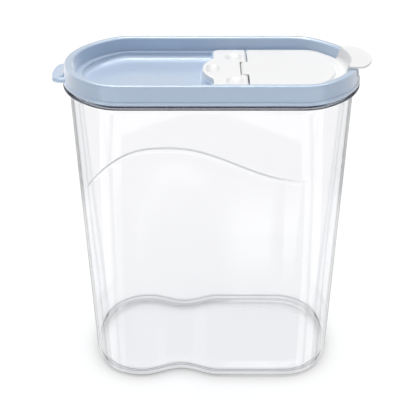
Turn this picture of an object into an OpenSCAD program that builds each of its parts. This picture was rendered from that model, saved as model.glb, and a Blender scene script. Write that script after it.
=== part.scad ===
// Cereal container with a flip spout: a clear tapered bin with a grip pinch, a lid with a
// sunken well, and a pour flap that turns between the two ears of a hinge base.
// Millimetres. X runs along the length with the spout at +X, the front faces -Y, Z is up,
// and the origin is the middle of the underside of the bin.

/* [Rim outline] */
// Length over the top edge of the lid
rim_len = 212; // [198:0.2:226]
// Depth over the top edge of the lid
rim_depth = 120; // [112:0.2:130]
// Radius of the four corners
rim_corner_r = 28; // [25:0.5:34]
// Radius of the two shallow ends
rim_end_r = 68; // [64:1:80]

/* [Bin] */
// Height from the table to the underside of the flange
bin_h = 224.4; // [200:0.2:250]
// Length over the base
base_len = 189.6; // [176:0.2:200]
// Depth over the base
base_depth = 112.8; // [104:0.2:118]
// Radius of the four corners at the base
base_corner_r = 35.6; // [30:0.2:42]
// Radius of the two ends at the base
base_end_r = 86; // [70:0.5:110]
// Wall thickness
bin_wall = 2; // [1.4:0.1:2.6]
// Thickness of the floor at its middle
bin_floor = 2.2; // [1.6:0.1:3]
// Rounding where the outside wall meets the foot
foot_round = 4; // [2.5:0.1:6]
// Rounding where the inside wall meets the floor
floor_round = 6; // [3:0.1:8]
// Width of the foot ring that stands on the table
foot_w = 4.6; // [3:0.1:7]
// How far the middle of the underside is raised
foot_h = 1; // [0.6:0.1:1.6]
// How far the shoulder lies inside the rim outline
shoulder_in = 2.7; // [2.2:0.1:3.6]

/* [Flange and neck] */
// Thickness of the flange below the lid
flange_t = 2.6; // [1.8:0.1:3.4]
// How far the flange reaches outside the rim outline
flange_out = 1.6; // [1:0.1:3]
// Rounding of the flange's edge
flange_round = 0.6; // [0.3:0.1:0.8]
// Height of the neck above the flange
neck_h = 5.4; // [4:0.1:5.8]
// Thickness of the neck
neck_wall = 1.5; // [1.2:0.05:1.7]
// How far the neck's outer face lies inside the rim outline
neck_in = 2.7; // [2.2:0.05:2.8]

/* [Grip] */
// Middle of the pinch along the length
grip_x = -24; // [-34:1:-10]
// Width of the pinch along the length
grip_w = 60; // [46:1:60]
// Depth of the pinch at the base
grip_depth = 8.5; // [4:0.5:12]
// Highest point of the crease, along the length
crest_x = -28; // [-36:1:-16]
// Highest point of the crease, below the flange
crest_drop = 29.8; // [24:0.2:50]
// Fall of the crease from its crest to its right end
crease_fall = 25.1; // [10:0.2:36]
// Fall of the crease from its crest to its left end
crease_dive = 38; // [16:0.5:44]
// Length of the crease from its crest to its left end
crease_left = 62; // [50:1:64]
// Length of the crease from its crest to its right end
crease_right = 92; // [70:1:100]
// Depth of the step below the crease
crease_step = 1.1; // [0.4:0.1:1.6]

/* [Lid] */
// Gap between the flange and the skirt
skirt_gap = 0.6; // [0.4:0.1:1]
// Height of the lid from the foot of its skirt to its rim
lid_h = 13.6; // [12.8:0.1:16]
// Wall of the deck, the well and the riser
lid_wall = 1.8; // [1.4:0.1:2]
// Wall of the skirt, the rim and the notch
rim_wall = 1.5; // [1.2:0.1:1.8]
// Width of the rim at its top
rim_w = 5.5; // [5.2:0.1:6.5]
// Rounding of the rim's outer edge
rim_round = 1.5; // [0.8:0.1:1.8]
// Rounding of the rim's inner edge
rim_inner_round = 2; // [1:0.1:2.4]
// How far the skirt leans out at its foot
skirt_lean = 0.8; // [0.4:0.1:1]
// How far the bead along the skirt's foot stands outside the rim outline
bead_out = 1.5; // [1.5:0.1:2]
// Height of the bead
bead_h = 2.4; // [1.6:0.1:3.2]
// How far the inner wall leans in at its foot
well_lean = 1; // [0.6:0.1:1.4]
// Drop from the rim to the deck
deck_drop = 10.4; // [9.8:0.1:12]
// Drop from the deck to the floor of the well
well_drop = 4.8; // [3:0.1:6]
// Width of the ledge round the well
ledge_w = 4.5; // [3:0.1:7]
// Clearance between the plug of the lid and the neck
plug_gap = 0.35; // [0.25:0.05:0.5]
// Wall of the plug
plug_wall = 2.45; // [2.2:0.05:3]
// How far the plug reaches below the deck
plug_drop = 3.9; // [3.6:0.1:6]

/* [Lid seal] */
// Height of the seal ring
seal_h = 2.4; // [1.6:0.1:2.8]
// How far the seal sits in its groove
seal_groove = 1.1; // [0.8:0.1:1.4]
// Clearance between the seal and the neck
seal_gap = 0.25; // [0.2:0.05:0.3]

/* [Pull tab] */
// How far the tab reaches past the rim outline
tab_out = 9.5; // [8:0.1:14]
// Width of the tab
tab_w = 36; // [28:0.5:44]
// Thickness of the tab
tab_t = 3.8; // [3:0.1:4.4]
// Drop from the rim to the top of the tab
tab_drop = 8.7; // [8:0.1:9.6]
// Radius of the tab's corners
tab_corner_r = 5.85; // [4:0.05:8]
// Radius of the tab's end
tab_end_r = 61.2; // [40:0.2:80]
// Rounding of the tab's edge
tab_round = 1.4; // [0.8:0.1:1.5]
// Radius of the cove between the tab and the skirt
tab_cove_r = 6; // [4:0.1:6.5]
// Radius of the dished top
tab_dish_r = 34; // [24:1:60]
// Depth of the dished top
tab_dish = 0.5; // [0.3:0.1:0.8]

/* [Hinge base] */
// Left edge of the ears
ear_x = 1.6; // [-2:0.2:4]
// Half width of the ears at their top
ear_hw = 45; // [40:0.5:46]
// Radius of the ears' outer corners
ear_corner_r = 5; // [3:0.5:7]
// Left tip of the round lobe
lobe_tip = -6.4; // [-10:0.2:-4]
// Radius of the round lobe
lobe_r = 38; // [34:0.5:44]
// Thickness of the hinge base above the deck
base_t = 3.2; // [3:0.1:3.4]
// Thickness of the lip along the ears' outer sides
ear_lip_t = 2.1; // [1.2:0.1:2.4]
// Margin of the pad that shows round the lobe
pad_margin = 1.5; // [1:0.1:3]
// Radius of the snap pegs
peg_r = 3; // [2.4:0.1:3.4]
// Clearance round the pegs
peg_gap = 0.15; // [0.1:0.05:0.25]
// Place of the ear pegs along the length
ear_peg_x = 13.4; // [11:0.2:14]
// Distance of the ear pegs from the middle
ear_peg_y = 28; // [26:0.5:32]
// Place of the lobe peg along the length
lobe_peg_x = 1; // [0:0.2:4]
// Depth of the dimples
dimple_d = 1; // [0.5:0.1:1.2]

/* [Hinge] */
// Hinge axis along the length
axis_x = 24; // [22:0.2:28]
// Radius of the flap's knuckle
knuckle_r = 2.5; // [2.4:0.05:2.6]
// Half width of the flap's knuckle
knuckle_hw = 14.7; // [12:0.1:16]
// Radius of the axle stubs
stub_r = 1.2; // [1:0.05:1.3]
// Length of the axle stubs
stub_len = 4; // [3:0.1:5]
// Running clearance round the axle stubs
stub_gap = 0.08; // [0.05:0.01:0.1]
// Clearance between the knuckle and the parts beside it
knuckle_gap = 0.6; // [0.5:0.05:0.8]

/* [Flap] */
// Height of the flap's panel above the deck
flap_h = 3.5; // [3.5:0.1:3.7]
// Thickness of the panel
flap_wall = 1.8; // [1.4:0.1:2]
// Clearance below the flap
flap_gap = 0.3; // [0.25:0.05:0.4]
// Clearance between the flap and the inner wall
flap_side_gap = 0.6; // [0.5:0.05:1]
// Half width of the flap
flap_hw = 47.7; // [44:0.1:49]
// Radius of the flap's corners
flap_corner_r = 13.05; // [12.5:0.05:20]
// Width of the sunken band round the panel
band_w = 9; // [7:0.2:10]
// Drop from the panel to the band
band_drop = 1.3; // [0.6:0.1:1.4]
// Height of the lip round the band
lip_h = 0.4; // [0.2:0.1:0.6]
// Width of the lip
lip_w = 1.8; // [1.2:0.1:2.6]

/* [Spout] */
// Half width of the notch in the rim
notch_hw = 23; // [18:0.5:26]
// Clearance between the ramp and the notch
notch_gap = 0.6; // [0.4:0.05:0.8]
// Height of the crest above the rim
crest_up = 2; // [1.8:0.1:3]
// Thickness of the ramp and of the thumb tab
spout_t = 1.4; // [1.2:0.1:1.5]
// Radius of the ramp's curve
ramp_r = 5; // [4.4:0.1:5.6]
// How far the thumb tab reaches past the rim outline
thumb_out = 9.5; // [6:0.1:12]
// Half width of the thumb tab
thumb_hw = 24.5; // [23.6:0.1:28]
// Radius of the thumb tab's corners
thumb_corner_r = 7.14; // [4:0.02:12]
// Radius of the thumb tab's end
thumb_end_r = 40; // [30:1:60]

/* [Pour opening] */
// Left edge of the opening
pour_x = 34; // [30:0.5:44]
// Length of the opening
pour_len = 48; // [40:0.5:49]
// Width of the deck between the opening and the sides of the flap
pour_band = 13; // [11:0.5:14]
// Radius of the opening's corners
pour_corner_r = 8; // [5:0.5:12]
// Clearance between the flap's seal and the opening
pour_gap = 0.35; // [0.25:0.05:0.5]
// Thickness of the flap's seal
flap_seal_t = 1.2; // [0.9:0.1:1.5]
// Wall of the plug below the flap
flap_plug_wall = 1.5; // [1.2:0.1:2]

/* [Hidden] */
$fn = 96;

// Overlap where joined solids meet, and reach of a cut past a surface
lap = 0.5;
past = 1;

// An oval is [length/2, depth/2, corner radius, end radius]: straight long sides, four corner
// arcs, and two shallow end arcs, all tangent. These give its other values.
function end_cx(o) = o[0] - o[3];
function turn(o) = asin((o[1] - o[2]) / (o[3] - o[2]));
function corner_cx(o) = end_cx(o) + (o[3] - o[2]) * cos(turn(o));
function corner_cy(o) = o[1] - o[2];
function grown(o, d) = [o[0] + d, o[1] + d, o[2] + d, o[3] + d];
function blend(a, b, k) = a + (b - a) * k;
function smooth(k) = let (c = min(max(k, 0), 1)) c * c * (3 - 2 * c);
function arc(c, r, a0, a1, n = 6) = [
    for (i = [0 : n]) let (a = blend(a0, a1, i / n)) c + r * [cos(a), sin(a)]
];

rim = [rim_len / 2, rim_depth / 2, rim_corner_r, rim_end_r];
base = [base_len / 2, base_depth / 2, base_corner_r, base_end_r];
shoulder = grown(rim, -shoulder_in);

// Heights
flange_z = bin_h + flange_t;
neck_z = flange_z + neck_h;
skirt_z = flange_z + skirt_gap;
rim_z = skirt_z + lid_h;
deck_z = rim_z - deck_drop;
well_z = deck_z - well_drop;
axis_z = deck_z + flap_h - knuckle_r;
band_z = deck_z + flap_h - band_drop;
notch_z = neck_z + plug_gap + rim_wall;
crest_z = rim_z + crest_up;

// ---- Shapes shared by the modules ----

module both_x() {
    children();
    mirror([1, 0, 0]) children();
}

module both_y() {
    children();
    mirror([0, 1, 0]) children();
}

// An oval is made of arcs about the centre of its end and about its corners' centres. The line
// through both centres parts the two arcs, so they stay tangent at any size.
reach = 2 * rim_len;
tall = 2 * rim_z;

module end_at(o) {
    translate([end_cx(o), 0, 0]) children();
}

module corner_at(o) {
    translate([corner_cx(o), corner_cy(o), 0]) children();
}

module beyond_line(o) {
    end_at(o) rotate([0, 0, turn(o)]) translate([-reach, 0, 0]) cube([2 * reach, reach, tall]);
}

module before_line(o) {
    end_at(o) rotate([0, 0, turn(o)]) translate([-reach, -reach, 0]) cube([2 * reach, reach, tall]);
}

// A profile carried round the half at +X: its x is the distance outward, its y the height
module half_sweep(o) {
    intersection() {
        end_at(o) rotate_extrude() translate([o[3], 0]) children();
        before_line(o);
        mirror([0, 1, 0]) before_line(o);
    }
    both_y() {
        intersection() {
            corner_at(o) rotate_extrude() translate([o[2], 0]) children();
            beyond_line(o);
            corner_at(o) cube([reach, reach, tall]);
        }
        translate([0, corner_cy(o), 0]) rotate([90, 0, 90]) linear_extrude(corner_cx(o))
            translate([o[2], 0]) children();
    }
}

module oval_sweep(o) {
    both_x() half_sweep(o) children();
}

module half_area(o) {
    intersection() {
        end_at(o) circle(o[3]);
        end_at(o) rotate(turn(o)) translate([-reach, -reach]) square([2 * reach, reach]);
        mirror([0, 1]) end_at(o) rotate(turn(o)) translate([-reach, -reach]) square([2 * reach, reach]);
    }
    both_y() intersection() {
        corner_at(o) circle(o[2]);
        end_at(o) rotate(turn(o)) translate([-reach, 0]) square([2 * reach, reach]);
        corner_at(o) square(reach);
    }
    translate([0, -o[1]]) square([corner_cx(o), 2 * o[1]]);
}

module oval_area(o) {
    both_x() half_area(o);
}

// Everything right of x, with its two left corners rounded
module rounded_left(x, hw, r) {
    far = rim_len;
    translate([x + r, -hw]) square([far, 2 * hw]);
    translate([x, r - hw]) square([far, 2 * (hw - r)]);
    both_y() translate([x + r, hw - r]) circle(r);
}

// ---- Bin: one skin lofted through ovals, outside up, over the neck, and inside down ----

// No chord of the skin is further than this from its arc
chord_gap = 0.12;
function chords(r, angle) = ceil(angle / (2 * acos(1 - chord_gap / r)));
end_steps = chords(rim_end_r, 2 * turn(rim));
corner_steps = chords(base_corner_r, 90 - turn(base));
side_steps = 22;

function oval_points(o) =
    let (cx = corner_cx(o), cy = corner_cy(o), a = turn(o), e = end_cx(o), q = 90 - a)
    concat(
        [for (i = [0 : end_steps - 1]) let (t = -a + 2 * a * i / end_steps)
            [e + o[3] * cos(t), o[3] * sin(t)]],
        [for (i = [0 : corner_steps - 1]) let (t = a + q * i / corner_steps)
            [cx + o[2] * cos(t), cy + o[2] * sin(t)]],
        [for (i = [0 : side_steps - 1]) [cx - 2 * cx * i / side_steps, o[1]]],
        [for (i = [0 : corner_steps - 1]) let (t = 90 + q * i / corner_steps)
            [-cx + o[2] * cos(t), cy + o[2] * sin(t)]],
        [for (i = [0 : end_steps - 1]) let (t = 180 - a + 2 * a * i / end_steps)
            [-e + o[3] * cos(t), o[3] * sin(t)]],
        [for (i = [0 : corner_steps - 1]) let (t = 180 + a + q * i / corner_steps)
            [-cx + o[2] * cos(t), -cy + o[2] * sin(t)]],
        [for (i = [0 : side_steps - 1]) [-cx + 2 * cx * i / side_steps, -o[1]]],
        [for (i = [0 : corner_steps - 1]) let (t = 270 + q * i / corner_steps)
            [cx + o[2] * cos(t), -cy + o[2] * sin(t)]]
    );

// Outline of the wall at height z, drawn in by its distance from the outer face
function wall_oval(z, inset) = grown(blend(base, shoulder, (z - foot_round) / (bin_h - foot_round)), -inset);

// The crease dives to the left as a cube and falls to the right as a wave. Round the ends of the
// bin it comes back to one level.
crease_low = bin_h - crest_drop - crease_fall;
crease_half = 0.75;
crease_turn = 30;
function fall_at(x) =
    let (u = (x - crest_x) / (x < crest_x ? crease_left : crease_right))
    u < 0 ? crease_dive * pow(min(-u, 1), 3) : crease_fall * (1 - cos(180 * min(u, 1))) / 2;
function crease_z(x, y) = crease_low + (crease_fall - fall_at(x)) * smooth(-y / crease_turn);

// The step fades out at both ends of the crease
function step_at(x, y) =
    y > 0 ? 0 :
    crease_step * smooth((x - crest_x + crease_left) / 8) * smooth((crest_x + crease_right + 8 - x) / 20);

function pinch_at(x) =
    let (u = (x - grip_x) / (grip_w / 2)) abs(u) > 1 ? 0 : grip_depth * (1 + cos(180 * u)) / 2;

// Draws a point toward the middle of the depth
function drawn_in(p, depth) = [p[0], p[1] - sign(p[1]) * depth];

// k runs from 0 at the foot to 1 at the crease
function lower_ring(k, inset) = [
    for (p = oval_points(wall_oval(blend(foot_round, crease_low, k), inset)))
        let (z = blend(foot_round, crease_z(p[0], p[1]) - crease_half, k),
             q = drawn_in(p, pinch_at(p[0]) * (1 - smooth(k)) + step_at(p[0], p[1]) * smooth(k)))
        [q[0], q[1], z]
];

// k runs from 0 at the crease to 1 at the shoulder
function upper_ring(k, inset) = [
    for (p = oval_points(wall_oval(blend(crease_low, bin_h, k), inset)))
        [p[0], p[1], blend(crease_z(p[0], p[1]) + crease_half, bin_h - flange_t, k)]
];

// A level ring near the floor, with the whole pinch
function floor_ring(inset, z) = [
    for (p = oval_points(grown(base, -inset))) let (q = drawn_in(p, pinch_at(p[0]))) [q[0], q[1], z]
];

// A level ring of the flange or the neck
function top_ring(d, z) = [for (p = oval_points(grown(rim, d))) [p[0], p[1], z]];

lower_steps = 8;
upper_steps = 3;
neck_out = -neck_in;
neck_inner = neck_out - neck_wall;
neck_round = neck_wall / 4;
floor_z = foot_h + bin_floor;

bin_rings = concat(
    [floor_ring(foot_round + foot_w + foot_h, foot_h)],
    [floor_ring(foot_round + foot_w, 0)],
    [for (a = [0 : 30 : 60]) floor_ring(foot_round * (1 - sin(a)), foot_round * (1 - cos(a)))],
    [for (i = [0 : lower_steps]) lower_ring(i / lower_steps, 0)],
    [for (i = [0 : upper_steps]) upper_ring(i / upper_steps, 0)],
    [top_ring(flange_out - flange_round, bin_h)],
    [top_ring(flange_out, bin_h + flange_round)],
    [top_ring(flange_out, flange_z - flange_round)],
    [top_ring(flange_out - flange_round, flange_z)],
    [top_ring(neck_out, flange_z)],
    [top_ring(neck_out, neck_z - neck_round)],
    [top_ring(neck_out - neck_round, neck_z)],
    [top_ring(neck_inner + neck_round, neck_z)],
    [top_ring(neck_inner, neck_z - neck_round)],
    [top_ring(neck_inner, bin_h)],
    [for (i = [upper_steps : -1 : 0]) upper_ring(i / upper_steps, bin_wall)],
    [for (i = [lower_steps : -1 : 1]) lower_ring(i / lower_steps, bin_wall)],
    [for (a = [75 : -25 : 0]) floor_ring(
        bin_wall + floor_round * (1 - sin(a)), floor_z + floor_round * (1 - cos(a)))]
);

module skin(rings) {
    n = len(rings[0]);
    last = len(rings) - 1;
    points = [for (r = rings) each r];
    bottom = [[for (i = [0 : n - 1]) i]];
    top = [[for (i = [n - 1 : -1 : 0]) last * n + i]];
    sides = [
        for (j = [0 : last - 1], i = [0 : n - 1]) let (k = (i + 1) % n)
            each [[j * n + i, (j + 1) * n + i, (j + 1) * n + k], [j * n + i, (j + 1) * n + k, j * n + k]]
    ];
    polyhedron(points, concat(bottom, sides, top));
}

module container_body() {
    color([0.86, 0.9, 0.94, 0.35]) skin(bin_rings);
}

// ---- Lid ----

inner_foot = rim_w + well_lean;
ledge_in = inner_foot + ledge_w;
plug_face = -neck_inner + plug_gap;
plug_in = plug_face + plug_wall;
plug_z = deck_z - lid_wall - plug_drop;
groove_z = plug_z + 1;
bead_round = 0.4;

rim_profile = concat(
    [[skirt_lean - rim_wall - 0.3, skirt_z]],
    arc([bead_out - bead_round, skirt_z + bead_round], bead_round, -90, 0, 3),
    arc([bead_out - bead_round, skirt_z + bead_h - bead_round], bead_round, 0, 90, 3),
    [[skirt_lean, skirt_z + bead_h]],
    arc([-rim_round, rim_z - rim_round], rim_round, 0, 90),
    arc([-rim_w + rim_inner_round, rim_z - rim_inner_round], rim_inner_round, 90, 180),
    [[-inner_foot, deck_z]],
    [[-ledge_in, deck_z]],
    [[-ledge_in, deck_z - lid_wall]],
    [[-plug_in, deck_z - lid_wall]],
    [[-plug_in, plug_z]],
    [[-plug_face - 0.5, plug_z]],
    [[-plug_face, plug_z + 0.6]],
    [[-plug_face, groove_z]],
    [[-plug_face - seal_groove, groove_z]],
    [[-plug_face - seal_groove, groove_z + seal_h]],
    [[-plug_face, groove_z + seal_h]],
    [[-plug_face, neck_z + lap]],
    [[-rim_w + rim_wall, rim_z - rim_wall]],
    [[-rim_wall, rim_z - rim_wall]]
);

// The cove and the edge of the well's floor
cove_c = [-ledge_in - well_drop, deck_z];
cove_under = asin(lid_wall / (well_drop + lid_wall));
cove_profile = concat(
    arc(cove_c, well_drop, 0, -90, 8),
    [[cove_c[0] - past, well_z]],
    [[cove_c[0] - past, well_z - lid_wall]],
    arc(cove_c, well_drop + lid_wall, -90, -cove_under, 8),
    [[-ledge_in, deck_z - lid_wall]]
);

lobe_cx = lobe_tip + lobe_r;
pad_x = ear_x - pad_margin;

// The raised deck and its round pad, drawn in by g
module pad_area(g) {
    translate([pad_x + g, -rim_depth]) square([rim_len, 2 * rim_depth]);
    translate([lobe_cx, 0]) circle(lobe_r + pad_margin - g);
}

flap = [
    rim[0] - inner_foot - flap_side_gap,
    flap_hw,
    flap_corner_r,
    rim[3] - inner_foot - flap_side_gap
];

// The pour opening, drawn in by g
module pour_area(g) {
    hw = flap_hw - pour_band - g;
    r = pour_corner_r - g;
    translate([pour_x + pour_corner_r, -hw]) square([pour_len - 2 * pour_corner_r, 2 * hw]);
    translate([pour_x + g, r - hw]) square([pour_len - 2 * g, 2 * (hw - r)]);
    both_y() for (x = [pour_x + pour_corner_r, pour_x + pour_len - pour_corner_r])
        translate([x, hw - r]) circle(r);
}

module well() {
    difference() {
        union() {
            oval_sweep(rim) polygon(cove_profile);
            translate([0, 0, well_z - lid_wall]) linear_extrude(lid_wall)
                oval_area(grown(rim, cove_c[0]));
        }
        translate([0, 0, well_z - lid_wall - past]) linear_extrude(well_drop + lid_wall + 2 * past)
            pad_area(lid_wall);
    }
    // Riser between the floor of the well and the deck
    translate([0, 0, well_z - lid_wall]) linear_extrude(well_drop + lid_wall) intersection() {
        oval_area(grown(rim, -ledge_in + lap));
        difference() {
            pad_area(0);
            pad_area(lid_wall);
        }
    }
}

module deck() {
    translate([0, 0, deck_z - lid_wall]) linear_extrude(lid_wall) intersection() {
        oval_area(grown(rim, -ledge_in + lap));
        pad_area(0);
    }
}

// Block over the neck at the spout: the notch is cut from it and leaves a floor and two end walls
module notch_block() {
    hw = notch_hw + rim_wall;
    intersection() {
        translate([end_cx(rim), 0, 0]) rotate_extrude()
            translate([rim_end_r - plug_face - lap, notch_z - rim_wall])
                square([plug_face, rim_z - notch_z]);
        translate([0, -hw, 0]) cube([reach, 2 * hw, tall]);
    }
}

module notch_cut() {
    end_at(rim) translate([0, -notch_hw, notch_z]) cube([reach, 2 * notch_hw, rim_z]);
}

// The trough below the knuckle, grown by g
trough_l = knuckle_r + knuckle_gap + 0.3;
trough_hw = knuckle_hw + knuckle_gap + stub_len + 2;
trough_z = axis_z - knuckle_r - 0.4;
module trough(g) {
    translate([axis_x - trough_l - g, -trough_hw - g, trough_z - g])
        cube([2 * trough_l + 2 * g, 2 * (trough_hw + g), deck_z - trough_z]);
}

tab = [rim[0] + tab_out, tab_w / 2, tab_corner_r, tab_end_r];
tab_z = rim_z - tab_drop;

module pull_tab() {
    skirt_x = rim[0] - rim_wall;
    rounded = tab_corner_r - 1;
    cove_r = rim_end_r + skirt_lean + tab_cove_r - 1;
    // The cove starts a little below the dish
    cove_z = tab_z - tab_dish - 0.15;
    mirror([1, 0, 0]) {
        difference() {
            union() {
                intersection() {
                    half_sweep(tab) polygon(concat(
                        [[-rounded, tab_z - tab_t]],
                        arc([-tab_round, tab_z - tab_t + tab_round], tab_round, -90, 0, 4),
                        arc([-tab_round, tab_z - tab_round], tab_round, 0, 90, 4),
                        [[-rounded, tab_z]]
                    ));
                    translate([skirt_x, -tab_w, 0]) cube([tab_w, 2 * tab_w, tall]);
                }
                translate([0, 0, tab_z - tab_t]) linear_extrude(tab_t) intersection() {
                    half_area(grown(tab, lap - rounded));
                    translate([skirt_x, -tab_w]) square([tab_w, 2 * tab_w]);
                }
            }
            translate([rim[0] + tab_out / 2 + 1, 0, tab_z - tab_dish + tab_dish_r])
                rotate([90, 0, 0]) cylinder(r = tab_dish_r, h = 2 * tab_w, center = true);
        }
        // Cove that carries the tab's top up into the skirt
        intersection() {
            translate([end_cx(rim), 0, 0]) rotate_extrude() polygon(concat(
                [[rim_end_r - rim_wall / 2, tab_z - tab_t / 2], [cove_r, tab_z - tab_t / 2]],
                arc([cove_r, cove_z + tab_cove_r], tab_cove_r, -90, -180, 6),
                [[rim_end_r - rim_wall / 2, cove_z + tab_cove_r]]
            ));
            translate([0, rounded - tab_w / 2, 0]) cube([reach, tab_w - 2 * rounded, tall]);
        }
    }
}

peg_places = [[lobe_peg_x, 0], [ear_peg_x, ear_peg_y], [ear_peg_x, -ear_peg_y]];

module lid() {
    color([0.66, 0.75, 0.87]) difference() {
        union() {
            oval_sweep(rim) polygon(rim_profile);
            well();
            deck();
            notch_block();
            trough(rim_wall);
            pull_tab();
        }
        notch_cut();
        trough_cut();
        translate([0, 0, deck_z - lid_wall - past]) linear_extrude(lid_wall + 2 * past) pour_area(0);
        for (p = peg_places)
            translate([p[0], p[1], well_z]) cylinder(r = peg_r + peg_gap, h = well_drop + past);
    }
}

module trough_cut() {
    translate([0, 0, past]) trough(0);
    trough(0);
}

// A soft ring with two lips, held in the groove of the plug
module lid_seal() {
    root = -plug_face - seal_groove + 0.05;
    face = neck_inner - seal_gap;
    z = groove_z + 0.1;
    h = seal_h - 0.2;
    color([0.93, 0.94, 0.95]) oval_sweep(rim) polygon([
        [root, z], [face, z], [face, z + h / 4], [face - 0.25, z + h / 2],
        [face, z + 3 * h / 4], [face, z + h], [root, z + h]
    ]);
}

// ---- Hinge base ----

base_z = deck_z + base_t;
nose_r = base_z - axis_z;
pocket_hw = knuckle_hw + knuckle_gap;

// An oval dish in the top face, w wide and l long
module dimple(x, y, w, l) {
    r = (w * w / 4 + dimple_d * dimple_d) / (2 * dimple_d);
    run = (l - w) / 2;
    translate([x, y, base_z - dimple_d + r]) {
        rotate([90, 0, 0]) cylinder(r = r, h = 2 * run, center = true);
        both_y() translate([0, run, 0]) sphere(r = r);
    }
}

// A split snap peg that hangs below the base and grips under the deck
module peg() {
    grip = peg_r + 0.4;
    head = deck_z - lid_wall - 0.2;
    difference() {
        union() {
            translate([0, 0, head - 2]) cylinder(r = peg_r, h = deck_z + lap - head + 2);
            translate([0, 0, head - 2]) cylinder(r1 = peg_r - 0.6, r2 = grip, h = 1.6);
            translate([0, 0, head - lap]) cylinder(r = grip, h = lap);
        }
        translate([-0.6, -2 * peg_r, head - 3]) cube([1.2, 4 * peg_r, deck_z - head + 2.4]);
    }
}

module ears() {
    hw = flap_hw;
    // Plate with its outer lip, up to the hinge axis
    translate([0, 0, deck_z]) linear_extrude(ear_lip_t) intersection() {
        rounded_left(ear_x, hw, ear_corner_r + hw - ear_hw);
        translate([0, -hw]) square([axis_x, 2 * hw]);
    }
    translate([0, 0, deck_z]) linear_extrude(base_t) {
        intersection() {
            rounded_left(ear_x, ear_hw, ear_corner_r);
            translate([0, -hw]) square([axis_x, 2 * hw]);
        }
        intersection() {
            translate([lobe_cx, 0]) circle(lobe_r);
            translate([lobe_tip - past, -lobe_r]) square([ear_x - lobe_tip + 4, 2 * lobe_r]);
        }
    }
    // Round nose along the hinge line, whole over the trough and cut level beside it
    difference() {
        translate([axis_x, 0, axis_z]) rotate([90, 0, 0]) cylinder(r = nose_r, h = 2 * ear_hw, center = true);
        both_y() translate([axis_x - 2 * nose_r, trough_hw - 0.3, deck_z - 2 * nose_r])
            cube([4 * nose_r, hw, 2 * nose_r]);
    }
}

module hinge_base() {
    color([0.95, 0.95, 0.96]) {
        difference() {
            ears();
            // Pocket for the knuckle
            translate([axis_x - knuckle_r - knuckle_gap, -pocket_hw, axis_z - 2 * knuckle_r])
                cube([4 * knuckle_r, 2 * pocket_hw, 4 * knuckle_r]);
            translate([axis_x, 0, axis_z]) rotate([90, 0, 0])
                cylinder(r = stub_r + stub_gap, h = 2 * (pocket_hw + stub_len), center = true);
            dimple(ear_peg_x + 3, ear_peg_y, 12, 17);
            dimple(ear_peg_x + 3, -ear_peg_y, 12, 17);
            dimple(lobe_peg_x, 0, 9.5, 20);
        }
        for (p = peg_places) translate([p[0], p[1], 0]) peg();
    }
}

// ---- Flap ----

flap_x = axis_x + knuckle_r + 0.35;
flap_z = deck_z + flap_h;
under_z = deck_z + flap_gap;
panel_in = band_w + 1;
edge_profile = [
    [-panel_in, flap_z - flap_wall],
    [-band_w, flap_z - flap_wall],
    [-band_w + 1, under_z],
    [-0.4, under_z],
    [0, under_z + 0.4],
    [0, band_z + lip_h - 0.4],
    [-0.4, band_z + lip_h],
    [-lip_w, band_z + lip_h],
    [-lip_w - 0.4, band_z],
    [-band_w + 0.6, band_z],
    [-band_w - 0.3, flap_z - 0.3],
    [-band_w - 0.7, flap_z],
    [-panel_in, flap_z]
];

// The ramp's section: a quarter curve up to the crest. Its x is the distance from the end's centre.
ramp_c = [flap[3] - ramp_r + 0.2, band_z + 0.2 + ramp_r];
crest_r = flap[3] + 1.5;
ramp_profile = concat(
    arc(ramp_c, ramp_r, -90, 0, 8),
    [[crest_r, crest_z - 0.6]],
    [[crest_r + 0.6, crest_z]],
    [[crest_r + 2.5, crest_z]],
    [[crest_r + 2.5, crest_z - spout_t]],
    [[crest_r + spout_t, crest_z - spout_t - 0.6]],
    arc(ramp_c, ramp_r + spout_t, 0, -90, 8)
);

module right_of(x) {
    intersection() {
        children();
        translate([x, -rim_depth, 0]) cube([rim_len, 2 * rim_depth, 2 * rim_z]);
    }
}

module ramp() {
    hw = notch_hw - notch_gap;
    intersection() {
        translate([end_cx(flap), 0, 0]) rotate_extrude() polygon(ramp_profile);
        translate([0, -hw, 0]) cube([reach, 2 * hw, tall]);
    }
}

thumb = [rim[0] + thumb_out, thumb_hw, thumb_corner_r, thumb_end_r];

module thumb_tab() {
    translate([0, 0, crest_z - spout_t]) linear_extrude(spout_t) difference() {
        intersection() {
            half_area(thumb);
            translate([rim[0] - rim_w - 6, -thumb_hw]) square([rim_len, 2 * thumb_hw]);
        }
        translate([end_cx(flap), 0]) circle(crest_r + 0.8);
    }
}

module spout_flap() {
    color([0.96, 0.96, 0.96]) {
        right_of(flap_x) {
            half_sweep(flap) polygon(edge_profile);
            translate([0, 0, flap_z - flap_wall]) linear_extrude(flap_wall)
                half_area(grown(flap, lap - panel_in));
        }
        // Knuckle, its web to the panel and its axle stubs
        translate([axis_x, 0, axis_z]) rotate([90, 0, 0]) {
            cylinder(r = knuckle_r, h = 2 * knuckle_hw, center = true);
            cylinder(r = stub_r, h = 2 * (knuckle_hw + stub_len), center = true);
        }
        translate([axis_x, -knuckle_hw, axis_z]) cube([flap_x - axis_x + lap, 2 * knuckle_hw, knuckle_r]);
        // Plug below the panel, with a foot that keeps the seal on
        translate([0, 0, deck_z - lid_wall]) linear_extrude(flap_z - flap_wall - deck_z + lid_wall + lap)
            difference() {
                pour_area(pour_gap + flap_seal_t);
                pour_area(pour_gap + flap_seal_t + flap_plug_wall);
            }
        translate([0, 0, deck_z - lid_wall - 0.8]) linear_extrude(0.8) difference() {
            pour_area(pour_gap + flap_seal_t / 2);
            pour_area(pour_gap + flap_seal_t + flap_plug_wall);
        }
        ramp();
        thumb_tab();
    }
}

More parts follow.
